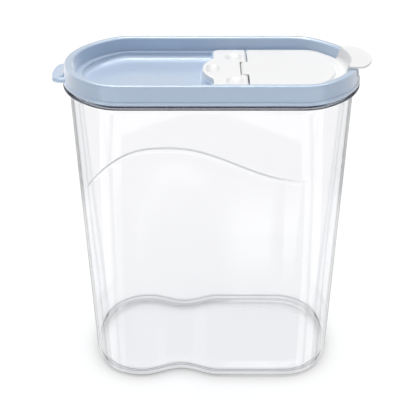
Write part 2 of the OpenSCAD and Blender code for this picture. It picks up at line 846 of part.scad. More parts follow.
// A soft ring with two lips round the plug
module flap_seal() {
    rib = lid_wall / 3;
    color([0.9, 0.91, 0.92]) for (i = [0 : 2])
        translate([0, 0, deck_z - lid_wall + i * rib]) linear_extrude(rib) difference() {
            pour_area(pour_gap + (i == 1 ? flap_seal_t / 3 : 0));
            pour_area(pour_gap + flap_seal_t);
        }
}

container_body();
lid();
lid_seal();
hinge_base();
spout_flap();
flap_seal();
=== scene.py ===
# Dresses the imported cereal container: the clear bin as a dense smooth shell, and the finishes of
# the lid, the hinge base, the flap and the two seals. Metres, in the CAD's frame.
import math

import bpy
from mathutils import Euler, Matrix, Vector


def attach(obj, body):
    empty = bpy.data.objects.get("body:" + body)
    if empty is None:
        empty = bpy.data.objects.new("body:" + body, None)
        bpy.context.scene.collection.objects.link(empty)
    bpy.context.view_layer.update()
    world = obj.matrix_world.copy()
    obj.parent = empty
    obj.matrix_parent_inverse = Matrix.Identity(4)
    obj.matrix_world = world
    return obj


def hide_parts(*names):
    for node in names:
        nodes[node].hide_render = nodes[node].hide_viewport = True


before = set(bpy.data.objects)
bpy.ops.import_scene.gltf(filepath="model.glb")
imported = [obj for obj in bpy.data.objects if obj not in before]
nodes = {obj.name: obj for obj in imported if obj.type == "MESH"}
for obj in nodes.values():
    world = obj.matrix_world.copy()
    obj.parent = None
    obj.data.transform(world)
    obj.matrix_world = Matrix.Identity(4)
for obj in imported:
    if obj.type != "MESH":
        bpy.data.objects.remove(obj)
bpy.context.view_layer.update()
MM = 0.001

# Sizes of the bin, in millimetres, as in the part's source. An outline is a half length, a half
# depth, the radius of the corners and the radius of the ends
RIM = (106.0, 60.0, 28.0, 68.0)
BASE = (94.8, 56.4, 35.6, 86.0)
BIN_H, BIN_WALL, BIN_FLOOR = 224.4, 2.0, 2.2
FOOT_ROUND, FLOOR_ROUND, FOOT_W, FOOT_H, FOOT_RISE = 4.0, 6.0, 4.6, 1.0, 14.0
FLANGE_T, FLANGE_OUT, FLANGE_ROUND, SHOULDER_IN = 2.6, 1.6, 0.6, 2.7
NECK_H, NECK_IN, NECK_WALL, NECK_FILLET = 5.4, 2.7, 1.5, 0.3
FLANGE_TOP = BIN_H + FLANGE_T

# The fillet under the flange, as steps out from the wall and down from the flange
FLANGE_FILLET = ((0.3, 1.2), (1.0, 0.3), (1.7, 0.0))

# Sizes of the grip: a pinch of both long walls, and a crease that crosses the front as one wave
CREST_DROP, CREASE_FALL = 29.8, 25.1
CREASE_LOW = BIN_H - CREST_DROP - CREASE_FALL
GRIP = {
    "Pinch Middle": -24.0, "Pinch Width": 60.0, "Pinch Depth": 8.5,
    "Crest Middle": -28.0, "Crease Low": CREASE_LOW, "Crease Fall": CREASE_FALL,
    "Crease Dive": 38.0, "Crease Turn": 30.0, "Crease Left": 62.0, "Crease Right": 92.0,
    "Crease Step": 1.1, "Crease Half": 0.75, "Foot": FOOT_ROUND, "Shoulder": BIN_H - FLANGE_T,
}
# The step of the crease fades in over the first length, and out over the last, past its ends
FADE_LEFT, FADE_PAST, FADE_RIGHT = 8.0, 8.0, 20.0

# Centre and half sizes of each shallow dish in the hinge base, and the fall that its shading adds
DISHES = ((16.4, 28.0, 6.5, 9.0), (16.4, -28.0, 6.5, 9.0), (1.0, 0.0, 5.2, 10.5))
DISH_FALL = 1.3


# ---- Arithmetic on node sockets, so that a rule in a node tree reads as a formula ----

class Field:
    """A number socket of a node tree."""

    def __init__(self, tree, socket):
        self.tree, self.socket = tree, socket

    def op(self, kind, *others, flip=False):
        node = self.tree.nodes.new("ShaderNodeMath")
        node.operation = kind
        terms = [self, *others]
        if flip:
            terms.reverse()
        for slot, term in zip(node.inputs, terms):
            if isinstance(term, Field):
                self.tree.links.new(term.socket, slot)
            else:
                slot.default_value = term
        return Field(self.tree, node.outputs[0])

    def __add__(self, other):
        return self.op("ADD", other)

    def __sub__(self, other):
        return self.op("SUBTRACT", other)

    def __rsub__(self, other):
        return self.op("SUBTRACT", other, flip=True)

    def __mul__(self, other):
        return self.op("MULTIPLY", other)

    __radd__, __rmul__ = __add__, __mul__

    def __truediv__(self, other):
        return self.op("DIVIDE", other)

    def __lt__(self, other):
        return self.op("LESS_THAN", other)

    def __gt__(self, other):
        return self.op("GREATER_THAN", other)

    def least(self, other):
        return self.op("MINIMUM", other)

    def most(self, other):
        return self.op("MAXIMUM", other)

    def size(self):
        return self.op("ABSOLUTE")

    def sign(self):
        return self.op("SIGN")

    def cos(self):
        return self.op("COSINE")

    def near(self, value):
        return self.op("COMPARE", value, 0.1)

    def clamped(self):
        return self.most(0.0).least(1.0)

    def smooth(self):
        c = self.clamped()
        return c * c * (3.0 - 2.0 * c)

    def rise(self, start, span):
        """0 up to the start, then smoothly to 1 over the span."""
        return ((self - start) / span).smooth()

    def drop(self, end, span):
        """1 at first, then smoothly to 0 over the span before the end."""
        return ((end - self) / span).smooth()

    def mix(self, other, weight):
        return self + (other - self) * weight

    def line(self, at, half, strength=1.0):
        """A line round one value, as strong as strength there and weaker by 1 every half away."""
        return (strength - (self - at).size() / half).clamped()


def split(tree, socket):
    """The three parts of a vector socket."""
    parts = tree.nodes.new("ShaderNodeSeparateXYZ")
    tree.links.new(socket, parts.inputs[0])
    return [Field(tree, part) for part in parts.outputs]


def place_in_mm(tree, axes="xyz"):
    """Where a point of the surface is on these axes, in millimetres."""
    place = tree.nodes.new("ShaderNodeTexCoord")
    parts = dict(zip("xyz", split(tree, place.outputs["Object"])))
    return [parts[axis] / MM for axis in axes]


# ---- Outline of the bin: straight sides, four corner arcs, two shallow end arcs ----

SIDE_STEPS, CORNER_STEPS, END_STEPS = 102, 28, 36


def grown(sizes, out):
    """An outline's sizes with all of it moved outwards."""
    return tuple(size + out for size in sizes)


def blended(a, b, k):
    """Sizes a share k of the way from one outline to another."""
    return tuple(p + (q - p) * k for p, q in zip(a, b))


def outline(sizes):
    """Points round an outline, the same number for any sizes."""
    half, depth, r_corner, r_end = sizes
    turn = math.asin((depth - r_corner) / (r_end - r_corner))
    ex = half - r_end
    cx, cy = ex + (r_end - r_corner) * math.cos(turn), depth - r_corner
    points = []

    def arc(x, y, r, a0, a1, steps):
        for i in range(steps):
            a = a0 + (a1 - a0) * i / steps
            points.append((x + r * math.cos(a), y + r * math.sin(a)))

    def side(x0, x1, y):
        for i in range(SIDE_STEPS):
            points.append((x0 + (x1 - x0) * i / SIDE_STEPS, y))

    right = math.pi / 2
    arc(ex, 0, r_end, -turn, turn, END_STEPS)
    arc(cx, cy, r_corner, turn, right, CORNER_STEPS)
    side(cx, -cx, depth)
    arc(-cx, cy, r_corner, right, math.pi - turn, CORNER_STEPS)
    arc(-ex, 0, r_end, math.pi - turn, math.pi + turn, END_STEPS)
    arc(-cx, -cy, r_corner, math.pi + turn, 3 * right, CORNER_STEPS)
    side(-cx, cx, -depth)
    arc(cx, -cy, r_corner, 3 * right, 4 * right - turn, CORNER_STEPS)
    return points


# ---- Skin of the bin, as rings of (points, height, zone, k) ----

# Zones of the skin: a level ring, the wall below the crease, the step, the wall above it, and
# the foot and floor, where the whole pinch shows. k is the share of the way along the zone
LEVEL, LOWER, STEP, UPPER, FLOOR = range(5)
LOWER_STEPS, CREASE_STEPS, UPPER_STEPS, ROUND_STEPS = 64, 8, 26, 8

# How far the rings of a floor's middle are drawn in, and a spare ring that keeps the foot flat
DISC = (0.2, 0.4, 0.6, 0.8)
FOOT_SPARE = 0.6


def floor_ring(inset, z, k=1.0):
    """A ring of the base, drawn in toward its middle by k."""
    return [(x * k, y * k) for x, y in outline(grown(BASE, -inset))], z, FLOOR, k


def level_ring(out, z):
    """A ring of the rim, moved outwards."""
    return outline(grown(RIM, out)), z, LEVEL, 0.0


def foot_bend(inset, z, r):
    """Rings that turn up from a floor into a wall, with radius r."""
    turns = [math.radians(90 * i / ROUND_STEPS) for i in range(ROUND_STEPS)]
    return [floor_ring(inset + r * (1 - math.sin(a)), z + r * (1 - math.cos(a))) for a in turns]


def rounded(out, z, r, start, end, steps=4):
    """Level rings round an edge of radius r, from one angle to another."""
    turns = [math.radians(start + (end - start) * i / steps) for i in range(steps + 1)]
    return [level_ring(out + r * math.cos(a), z + r * math.sin(a)) for a in turns]


def underside():
    """The risen middle of the floor, its fall to the foot ring, and the rounded foot."""
    ring_in = FOOT_ROUND + FOOT_W
    rings = [floor_ring(ring_in + FOOT_RISE, FOOT_H, k) for k in DISC]
    for i in range(ROUND_STEPS, -1, -1):
        k = i / ROUND_STEPS
        rings.append(floor_ring(ring_in + FOOT_RISE * k, FOOT_H * k * k * (3 - 2 * k)))
    rings.append(floor_ring(FOOT_ROUND + FOOT_SPARE, 0))
    return rings + foot_bend(0.0, 0.0, FOOT_ROUND)


def wall(inset):
    """The tapered wall from foot to rim, with spare rings at the crease for its step."""
    shoulder = grown(RIM, -SHOULDER_IN)
    rows = [(LOWER, i / LOWER_STEPS) for i in range(LOWER_STEPS + 1)]
    rows += [(STEP, i / CREASE_STEPS) for i in range(1, CREASE_STEPS)]
    rows += [(UPPER, i / UPPER_STEPS) for i in range(UPPER_STEPS + 1)]
    rings = []
    for zone, k in rows:
        if zone == LOWER:
            z = FOOT_ROUND + (CREASE_LOW - FOOT_ROUND) * k
        elif zone == STEP:
            z = CREASE_LOW
        else:
            z = CREASE_LOW + (BIN_H - CREASE_LOW) * k
        risen = (z - FOOT_ROUND) / (BIN_H - FOOT_ROUND)
        rings.append((outline(grown(blended(BASE, shoulder, risen), -inset)), z, zone, k))
    return rings


def flange_and_neck():
    """Out under the flange, round its edge, up the neck, over it and down to the inner wall."""
    edge = FLANGE_OUT - FLANGE_ROUND
    neck_top, r = FLANGE_TOP + NECK_H, NECK_WALL / 4
    return [
        *(level_ring(-SHOULDER_IN + out, BIN_H - down) for out, down in FLANGE_FILLET),
        *rounded(edge, BIN_H + FLANGE_ROUND, FLANGE_ROUND, -90, 0),
        *rounded(edge, FLANGE_TOP - FLANGE_ROUND, FLANGE_ROUND, 0, 90),
        level_ring(-NECK_IN + NECK_FILLET, FLANGE_TOP),
        level_ring(-NECK_IN, FLANGE_TOP + NECK_FILLET),
        *rounded(-NECK_IN - r, neck_top - r, r, 0, 90, 3),
        *rounded(-NECK_IN - NECK_WALL + r, neck_top - r, r, 90, 180, 3),
        level_ring(-NECK_IN - NECK_WALL, BIN_H),
    ]


def inner_floor():
    """The rounding at the foot of the inner wall, and the flat floor in to its middle."""
    floor_z = FOOT_H + BIN_FLOOR
    bend = foot_bend(BIN_WALL, floor_z, FLOOR_ROUND)
    flat = [floor_ring(BIN_WALL + FLOOR_ROUND, floor_z, k) for k in DISC]
    return bend[::-1] + flat[::-1]


def shell_mesh():
    """The skin before its grip is pressed in, with each point's zone and k as attributes."""
    rings = underside() + wall(0.0) + flange_and_neck() + wall(BIN_WALL)[::-1] + inner_floor()
    n, last = len(rings[0][0]), len(rings) - 1
    verts, zones, ks, faces = [], [], [], []
    for points, z, zone, k in rings:
        verts += [(x * MM, y * MM, z * MM) for x, y in points]
        zones += [zone] * n
        ks += [k] * n
    for j in range(last):
        for i in range(n):
            m = (i + 1) % n
            faces.append((j * n + i, j * n + m, (j + 1) * n + m, (j + 1) * n + i))
    for ring, faces_down in ((0, True), (last, False)):
        hub = len(verts)
        verts.append((0.0, 0.0, rings[ring][1] * MM))
        zones.append(LEVEL)
        ks.append(1.0)
        for i in range(n):
            a, b = ring * n + i, ring * n + (i + 1) % n
            faces.append((hub, b, a) if faces_down else (hub, a, b))
    mesh = bpy.data.meshes.new("container_shell")
    mesh.from_pydata(verts, [], faces)
    mesh.attributes.new("zone", "INT", "POINT").data.foreach_set("value", zones)
    mesh.attributes.new("along", "FLOAT", "POINT").data.foreach_set("value", ks)
    mesh.polygons.foreach_set("use_smooth", [True] * len(mesh.polygons))
    mesh.update()
    return mesh


# ---- Grip of the bin ----

def crease_height(x, y, sizes):
    """Distance from the crest, and height of the crease: a cube to the left, a wave to the
    right."""
    away = x - sizes["Crest Middle"]
    left = (away * -1.0 / sizes["Crease Left"]).clamped()
    right = (away / sizes["Crease Right"]).clamped()
    wave = 0.5 - 0.5 * (right * math.pi).cos()
    fall = left * left * left * sizes["Crease Dive"] + wave * sizes["Crease Fall"]
    turned = (y * -1.0 / sizes["Crease Turn"]).smooth()
    return away, (sizes["Crease Fall"] - fall) * turned + sizes["Crease Low"]


def pressed(sizes, x, y, z, zone, k):
    """A point's y and z once the pinch and the crease are in, from its zone and k."""
    away, crease = crease_height(x, y, sizes)
    half = sizes["Crease Half"]
    begins = ((away + sizes["Crease Left"]) / (FADE_LEFT * MM)).smooth()
    ends = ((sizes["Crease Right"] + FADE_PAST * MM - away) / (FADE_RIGHT * MM)).smooth()
    step = sizes["Crease Step"] * (begins * ends) * (y < 0.0)

    # Depth of the pinch; a floor ring that is drawn in by k keeps its shape
    on_floor = zone.near(FLOOR)
    drawn = (1.0 - on_floor) + on_floor * k
    across = ((x / drawn - sizes["Pinch Middle"]) / (sizes["Pinch Width"] * 0.5)).size().least(1.0)
    pinch = sizes["Pinch Depth"] * (0.5 + 0.5 * (across * math.pi).cos()) * drawn

    lower, rise, upper = zone.near(LOWER), zone.near(STEP), zone.near(UPPER)
    soft = k.smooth()
    depth = (
        on_floor * pinch
        + lower * (pinch * (1.0 - soft) + step * soft)
        + rise * step * (1.0 - soft)
    )
    low_z = sizes["Foot"] + (crease - half - sizes["Foot"]) * k
    step_z = crease + half * (2.0 * k - 1.0)
    up_z = (crease + half).mix(sizes["Shoulder"], k)
    unmoved = 1.0 - (lower + rise + upper)
    new_z = z * unmoved + lower * low_z + rise * step_z + upper * up_z
    return y - y.sign() * depth, new_z


def grip_tree():
    """Presses the pinch and the wave crease of the grip into the skin, by named sizes."""
    tree = bpy.data.node_groups.new("grip", "GeometryNodeTree")
    face = tree.interface
    face.new_socket("Geometry", in_out="INPUT", socket_type="NodeSocketGeometry")
    for name in GRIP:
        face.new_socket(name, in_out="INPUT", socket_type="NodeSocketFloat")
    face.new_socket("Material", in_out="INPUT", socket_type="NodeSocketMaterial")
    face.new_socket("Geometry", in_out="OUTPUT", socket_type="NodeSocketGeometry")
    new, link = tree.nodes.new, tree.links.new
    start, end = new("NodeGroupInput"), new("NodeGroupOutput")

    def stored(name, kind):
        node = new("GeometryNodeInputNamedAttribute")
        node.data_type = kind
        node.inputs["Name"].default_value = name
        return Field(tree, node.outputs[0])

    sizes = {name: Field(tree, start.outputs[name]) * MM for name in GRIP}
    x, y, z = split(tree, new("GeometryNodeInputPosition").outputs[0])
    moved = pressed(sizes, x, y, z, stored("zone", "INT"), stored("along", "FLOAT"))
    join = new("ShaderNodeCombineXYZ")
    for slot, field in zip(join.inputs, (x, *moved)):
        link(field.socket, slot)
    place, whole = new("GeometryNodeSetPosition"), new("GeometryNodeRealizeInstances")
    paint = new("GeometryNodeSetMaterial")
    link(start.outputs["Geometry"], place.inputs["Geometry"])
    link(join.outputs[0], place.inputs["Position"])
    link(place.outputs[0], whole.inputs[0])
    link(whole.outputs[0], paint.inputs["Geometry"])
    link(start.outputs["Material"], paint.inputs["Material"])
    link(paint.outputs[0], end.inputs[0])
    return tree


def container_shell(material):
    """The clear bin: the skin with its grip pressed in, as a plain mesh."""
    scene = bpy.context.scene
    raw = bpy.data.objects.new("shell_raw", shell_mesh())
    scene.collection.objects.link(raw)
    grip = raw.modifiers.new("grip", "NODES")
    grip.node_group = grip_tree()
    values = {**GRIP, "Material": material}
    for item in grip.node_group.interface.items_tree:
        if item.in_out == "INPUT" and item.name in values:
            grip[item.identifier] = values[item.name]
    bpy.context.view_layer.update()
    depsgraph = bpy.context.evaluated_depsgraph_get()
    mesh = bpy.data.meshes.new_from_object(raw.evaluated_get(depsgraph))
    mesh.name = "container_shell"
    raw.modifiers.remove(grip)
    bpy.data.objects.remove(raw)
    for name in ("zone", "along"):
        if name in mesh.attributes:
            mesh.attributes.remove(mesh.attributes[name])
    shell = bpy.data.objects.new("container_shell", mesh)
    scene.collection.objects.link(shell)
    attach(shell, "container")
    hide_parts("container_body")
    return shell


# ---- Finishes ----

# Marks of a moulded face: the scale of each, its noise detail, and how its pattern is stretched.
# Flow is slow colour drift, peel a fine orange peel, and wipe faint marks of handling
MARKS = {
    "Flow": (18.0, 3.0, (1.0, 1.0, 0.35)),
    "Peel": (900.0, 2.0, None),
    "Wipe": (60.0, 5.0, (0.25, 1.0, 1.0)),
}
MARKS_TURN = (0.3, 0.2, 0.5)


def moulded_skin():
    """Shared effect of moulded plastic: one noise for each of its marks."""
    group = bpy.data.node_groups.new("moulded_skin", "ShaderNodeTree")
    face = group.interface
    for name, (scale, _, _) in MARKS.items():
        socket = face.new_socket(name + " Scale", in_out="INPUT", socket_type="NodeSocketFloat")
        socket.default_value = scale
        face.new_socket(name, in_out="OUTPUT", socket_type="NodeSocketFloat")
    new, link = group.nodes.new, group.links.new
    start, end, place = new("NodeGroupInput"), new("NodeGroupOutput"), new("ShaderNodeTexCoord")
    for name, (_, detail, stretch) in MARKS.items():
        noise, where = new("ShaderNodeTexNoise"), place.outputs["Object"]
        if stretch:
            turn = new("ShaderNodeMapping")
            turn.inputs["Scale"].default_value = stretch
            turn.inputs["Rotation"].default_value = MARKS_TURN
            link(where, turn.inputs[0])
            where = turn.outputs[0]
        noise.inputs["Detail"].default_value = detail
        link(start.outputs[name + " Scale"], noise.inputs["Scale"])
        link(where, noise.inputs["Vector"])
        link(noise.outputs["Fac"], end.inputs[name])
    return group


SKIN = moulded_skin()


def linear(rgb):
    """An 8-bit display colour as the linear colour that a socket takes."""
    return [((c / 255 + 0.055) / 1.055) ** 2.4 if c > 10 else c / 255 / 12.92 for c in rgb] + [1.0]


def rays(tree, *kinds):
    """1 on rays of any of these kinds."""
    path = tree.nodes.new("ShaderNodeLightPath")
    found, *others = [Field(tree, path.outputs[f"Is {kind} Ray"]) for kind in kinds]
    for other in others:
        found = found.most(other)
    return found


def tinted(tree, colour, amount, tone):
    """The colour, a socket or a plain one, drawn toward a tone by an amount."""
    mix = tree.nodes.new("ShaderNodeMix")
    mix.data_type = "RGBA"
    tree.links.new(amount.socket, mix.inputs["Factor"])
    if isinstance(colour, bpy.types.NodeSocket):
        tree.links.new(colour, mix.inputs["A"])
    else:
        mix.inputs["A"].default_value = colour
    mix.inputs["B"].default_value = linear(tone)
    return mix.outputs["Result"]


def bumped(tree, height, distance, normal=None):
    """The normal of a surface whose height, from 0 to 1, is worth a distance in metres."""
    bump = tree.nodes.new("ShaderNodeBump")
    bump.inputs["Strength"].default_value = 1.0
    bump.inputs["Distance"].default_value = distance
    tree.links.new(height, bump.inputs["Height"])
    if normal:
        tree.links.new(normal, bump.inputs["Normal"])
    return bump.outputs[0]


def plastic(name, tone, shade, rough, swing, peel, scales=(), **sockets):
    """A moulded plastic: its colour drifts from tone to shade, its roughness swings with the
    wipe marks, and its peel is so many metres deep. Other sockets of the shader go by name."""
    material = bpy.data.materials.new(name)
    material.use_nodes = True
    tree = material.node_tree
    link = tree.links.new
    shader = tree.nodes["Principled BSDF"]
    skin = tree.nodes.new("ShaderNodeGroup")
    skin.node_tree = SKIN
    for slot, scale in zip(skin.inputs, scales or [mark[0] for mark in MARKS.values()]):
        slot.default_value = scale
    drift = Field(tree, skin.outputs["Flow"]).smooth()
    link(tinted(tree, linear(tone), drift, shade), shader.inputs["Base Color"])
    if swing:
        roughness = Field(tree, skin.outputs["Wipe"]) * swing + (rough - swing / 2)
        link(roughness.socket, shader.inputs["Roughness"])
    else:
        shader.inputs["Roughness"].default_value = rough
    link(bumped(tree, skin.outputs["Peel"], peel), shader.inputs["Normal"])
    for socket, value in sockets.items():
        shader.inputs[socket.replace("_", " ")].default_value = value
    return material


def dish_bump(material):
    """Deepens the shading of the shallow dishes in the hinge base, above its snap pegs."""
    group = bpy.data.node_groups.new("hinge_dishes", "ShaderNodeTree")
    group.interface.new_socket("Bump Height", in_out="OUTPUT", socket_type="NodeSocketFloat")
    x, y = place_in_mm(group, "xy")
    depths = []
    for at_x, at_y, half_x, half_y in DISHES:
        across, along = (x - at_x) / half_x, (y - at_y) / half_y
        depths.append(1.0 - across * across - along * along)
    deepest = depths[0].most(0.0)
    for depth in depths[1:]:
        deepest = deepest.most(depth)
    end = group.nodes.new("NodeGroupOutput")
    group.links.new((deepest * -1.0).socket, end.inputs[0])
    tree = material.node_tree
    relief = tree.nodes.new("ShaderNodeGroup")
    relief.node_tree = group
    normal = tree.nodes["Principled BSDF"].inputs["Normal"]
    peel = normal.links[0].from_socket
    tree.links.new(bumped(tree, relief.outputs[0], DISH_FALL * MM, peel), normal)


# Tones that the clear plastic is drawn toward, all painted shade standing in for what refraction
# draws: where it is tilted, at its silhouette, on the line inside that, and on its foot, crease and
# flange, whose blue is also a painted reflection of the lid
TILTED, SILHOUETTE, INNER_LINE = (238, 241, 244), (34, 42, 52), (120, 130, 142)
FOOT_LINE, CREASE_LINE, FLANGE_BAND = (30, 48, 76), (70, 78, 88), (18, 34, 58)

# How far each of those goes, and where in Facing, which runs from 0 face on to 1 edge on
TILT_FROM, TILT_SPAN, TILT_SHARE = 0.45, 0.5, 0.45
EDGE_FROM, EDGE_SPAN, EDGE_BEHIND = 0.85, 0.08, 0.5
INNER_AT, INNER_HALF, INNER_SHARE = 0.61, 0.045, 0.4
FOOT_BEHIND, CREASE_SHARE = 0.6, 0.95

# How much of the coat is lost at the silhouette, in the grip and on the flange
EDGE_DULL, GRIP_DULL, FLANGE_DULL = 0.8, 0.75, 0.9

# What the plastic's shadow is tinted, as a linear colour, and the tone of its lowest part
CLEAR_SHADOW, LOW_SHADOW, LOW_TOP = (0.99, 0.992, 0.994, 1.0), (20, 22, 26), 14.0

# Heights and half widths of the painted lines of shade, in millimetres, and how strong their
# middles are
UNDER_TOP, FOOT_BEND, FOOT_LINE_HALF, FOOT_LINE_FULL = 2.6, 6.1, 0.36, 1.1
FLANGE_LINES, FLANGE_LINE_HALF, FLANGE_SHADE = (0.2, FLANGE_T - 0.3), 0.45, 0.85
CREASE_LINE_HALF, LINE_FULL = 0.5, 1.3

# The size of a normal's upright part: 0 on an upright wall and 1 on a level face
UNDER_FROM, UNDER_SPAN, UPRIGHT, INNER_UPRIGHT, FLAT, FLAT_EASE = 0.2, 0.4, 0.35, 0.3, 0.98, 0.1

# The pinched wall: how far below the crease and how near the crest it counts, and how softly
PINCH_BELOW, PINCH_BELOW_SPAN, PINCH_REACH, PINCH_REACH_SPAN = 6.0, 25.0, 52.0, 20.0
PLACES = ("Foot", "Flange", "Crease", "Grip")


def shade_lines_and_grip():
    """Masks of the painted shade on the clear wall: two lines round its foot, a band on its flange
    and a line along its crease. Grip is the pinched wall below the crease, which is less glossy."""
    group = bpy.data.node_groups.new("shade_lines_and_grip", "ShaderNodeTree")
    group.interface.new_socket("Level", in_out="INPUT", socket_type="NodeSocketFloat")
    for name in PLACES:
        group.interface.new_socket(name, in_out="OUTPUT", socket_type="NodeSocketFloat")
    start, end = group.nodes.new("NodeGroupInput"), group.nodes.new("NodeGroupOutput")
    level = Field(group, start.outputs["Level"])
    x, y, z = place_in_mm(group)

    # Two painted lines of shade round the foot: where it turns under, and where its rounding begins
    under = level.rise(UNDER_FROM, UNDER_SPAN) * (z < UNDER_TOP) * (level < FLAT)
    begins = z.line(FOOT_BEND, FOOT_LINE_HALF, FOOT_LINE_FULL) * (level < UPRIGHT)

    # The flange is a band of painted shade and painted reflection of the lid, with a darker line
    # near each of its edges
    up = z - BIN_H
    flange = (up > -0.4) * (up < FLANGE_T + 0.2) * FLANGE_SHADE
    for edge in FLANGE_LINES:
        flange = flange.most(up.line(edge, FLANGE_LINE_HALF, LINE_FULL))

    # A painted line of shade along the crease, faded at its ends
    away, height = crease_height(x, y, GRIP)
    fade = away.rise(-1.0 - GRIP["Crease Left"], 3.0) * away.drop(GRIP["Crease Right"] + 4.0, 26.0)
    crease = z.line(height, CREASE_LINE_HALF, LINE_FULL) * fade * (y < 0.0)
    near_crest = away.size().drop(PINCH_REACH, PINCH_REACH_SPAN)
    grip = (height - z).rise(PINCH_BELOW, PINCH_BELOW_SPAN) * near_crest
    for name, field in zip(PLACES, (under.most(begins), flange, crease, grip)):
        group.links.new(field.socket, end.inputs[name])
    return group


def clear_shadow(tree, level):
    """Thin plastic lets diffuse and shadow rays through, all but its lowest part."""
    new, link = tree.nodes.new, tree.links.new
    shader, out = tree.nodes["Principled BSDF"], tree.nodes["Material Output"]
    z = place_in_mm(tree, "z")[0]
    low = (1.0 - z / LOW_TOP).smooth() * ((FLAT - level) / FLAT_EASE).clamped()
    open_way, mix = new("ShaderNodeBsdfTransparent"), new("ShaderNodeMixShader")
    link(tinted(tree, CLEAR_SHADOW, low, LOW_SHADOW), open_way.inputs["Color"])
    link(rays(tree, "Shadow", "Diffuse").socket, mix.inputs[0])
    link(shader.outputs[0], mix.inputs[1])
    link(open_way.outputs[0], mix.inputs[2])
    link(mix.outputs[0], out.inputs["Surface"])


def clear_plastic():
    """Clear polymer: nearly clear face on, with blue-grey painted shade seen along its length and
    in thin lines.
    """
    material = plastic(
        "clear_plastic", tone=(249, 249, 250), shade=(247, 247, 248), rough=0.0, swing=0.0,
        peel=0.0000004, scales=(9.0, 220.0, 40.0), Transmission_Weight=1.0, IOR=1.02,
        Coat_IOR=1.5, Coat_Roughness=0.015,
    )
    tree = material.node_tree
    new, link = tree.nodes.new, tree.links.new
    shader = tree.nodes["Principled BSDF"]
    tilt, side = new("ShaderNodeLayerWeight"), new("ShaderNodeNewGeometry")
    place_masks = new("ShaderNodeGroup")
    tilt.inputs["Blend"].default_value = 0.5
    place_masks.node_tree = shade_lines_and_grip()
    level = split(tree, side.outputs["True Normal"])[2].size()
    link(level.socket, place_masks.inputs["Level"])
    along, back = Field(tree, tilt.outputs["Facing"]), Field(tree, side.outputs["Backfacing"])
    foot, flange, crease, grip = (Field(tree, place_masks.outputs[name]) for name in PLACES)
    edge = along.rise(EDGE_FROM, EDGE_SPAN) * (1.0 - back * EDGE_BEHIND)
    inner = along.line(INNER_AT, INNER_HALF) * (level < INNER_UPRIGHT) * (1.0 - back)
    colour = shader.inputs["Base Color"].links[0].from_socket
    # Painted shade in the base colour: edge on, and lines on the silhouette, foot, crease, flange
    for amount, tone in (
        (along.rise(TILT_FROM, TILT_SPAN) * TILT_SHARE, TILTED),
        (edge, SILHOUETTE),
        (inner * INNER_SHARE, INNER_LINE),
        (foot * (1.0 - back * FOOT_BEHIND), FOOT_LINE),
        (crease * CREASE_SHARE, CREASE_LINE),
        (flange, FLANGE_BAND),
    ):
        colour = tinted(tree, colour, amount, tone)
    link(colour, shader.inputs["Base Color"])
    coat = (1.0 - edge * EDGE_DULL) * (1.0 - grip * GRIP_DULL) * (1.0 - flange * FLANGE_DULL)
    link(coat.socket, shader.inputs["Coat Weight"])
    clear_shadow(tree, level)
    return material


def painted(material, *names):
    """Gives the material to CAD nodes that keep their own mesh."""
    for name in names:
        for slot in nodes[name].material_slots:
            slot.material = material


blue = plastic(
    "blue_plastic", tone=(185, 205, 229), shade=(180, 201, 226), rough=0.3, swing=0.08,
    peel=0.000012, Coat_Weight=1.0, Coat_Roughness=0.15, Sheen_Weight=1.0, Sheen_Roughness=0.4,
)
white = plastic("white_plastic", tone=(236, 236, 236), shade=(233, 233, 233), rough=0.3,
                swing=0.08, peel=0.00002)
dished = plastic("hinge_plastic", tone=(237, 237, 237), shade=(235, 235, 235), rough=0.3,
                 swing=0.08, peel=0.00002)
seal = plastic("seal_rubber", tone=(226, 230, 233), shade=(214, 219, 224), rough=0.55,
               swing=0.1, peel=0.00003)
dish_bump(dished)
painted(blue, "lid")
painted(white, "spout_flap")
painted(dished, "hinge_base")
painted(seal, "lid_seal", "flap_seal")
shell = container_shell(clear_plastic())


# ---- Studio ----

FLOOR_HALF, FLOOR_DROP = 6.0, 0.0002
FLOOR_TONE, FLOOR_SEEN_TONE, FLOOR_GLOW = 0.8, 0.1, 0.42
WORLD_LIGHT, DEGREE = 0.3, 180.0 / math.pi

# What gloss mirrors, in degrees. A panel is its start, its end and its softness, in turn from the
# front, and the band is the same in height. The card stands in front, its middle below the table
PANELS = ((5.9, 31.6, 1.5), (44.8, 79.5, 2.0))
BAND = (44.0, 62.0, 8.0)
CARD_TURN, CARD_SOFT, CARD_HEIGHT, CARD_HALF = 4.3, 0.8, -27.7, 3.6
PANEL_GLOSS, CARD_GLOSS, LOW_GLOSS, BAND_GLOSS = 1.5, 1.4, 0.6, 2.8

# How far below level the panels and the wide glow begin, and over how many degrees
PANEL_FALL, PANEL_FALL_SPAN, LOW_FALL, LOW_FALL_SPAN = 5.0, 8.0, 25.0, 3.0

# The panels stand straight at one fall, and lean more toward the side with each span below it
LEAN_FROM, LEAN_SPAN, LEAN_RATE, LEAN_BASE = 23.0, 11.0, 0.355, 42.1

# The camera's place in metres, its tilt from straight down in degrees, and its framing
EYE, EYE_TILT = (0.0, -0.6459, 0.4456), 63.4
LENS, SENSOR, SHIFT, CLIP = 80.06, 36.0, (-0.0082, -0.0048), (0.01, 50.0)


def seen_directly(tree):
    """1 on rays that show a thing to the camera: straight, mirrored or through clear plastic."""
    return rays(tree, "Camera", "Glossy", "Transmission")


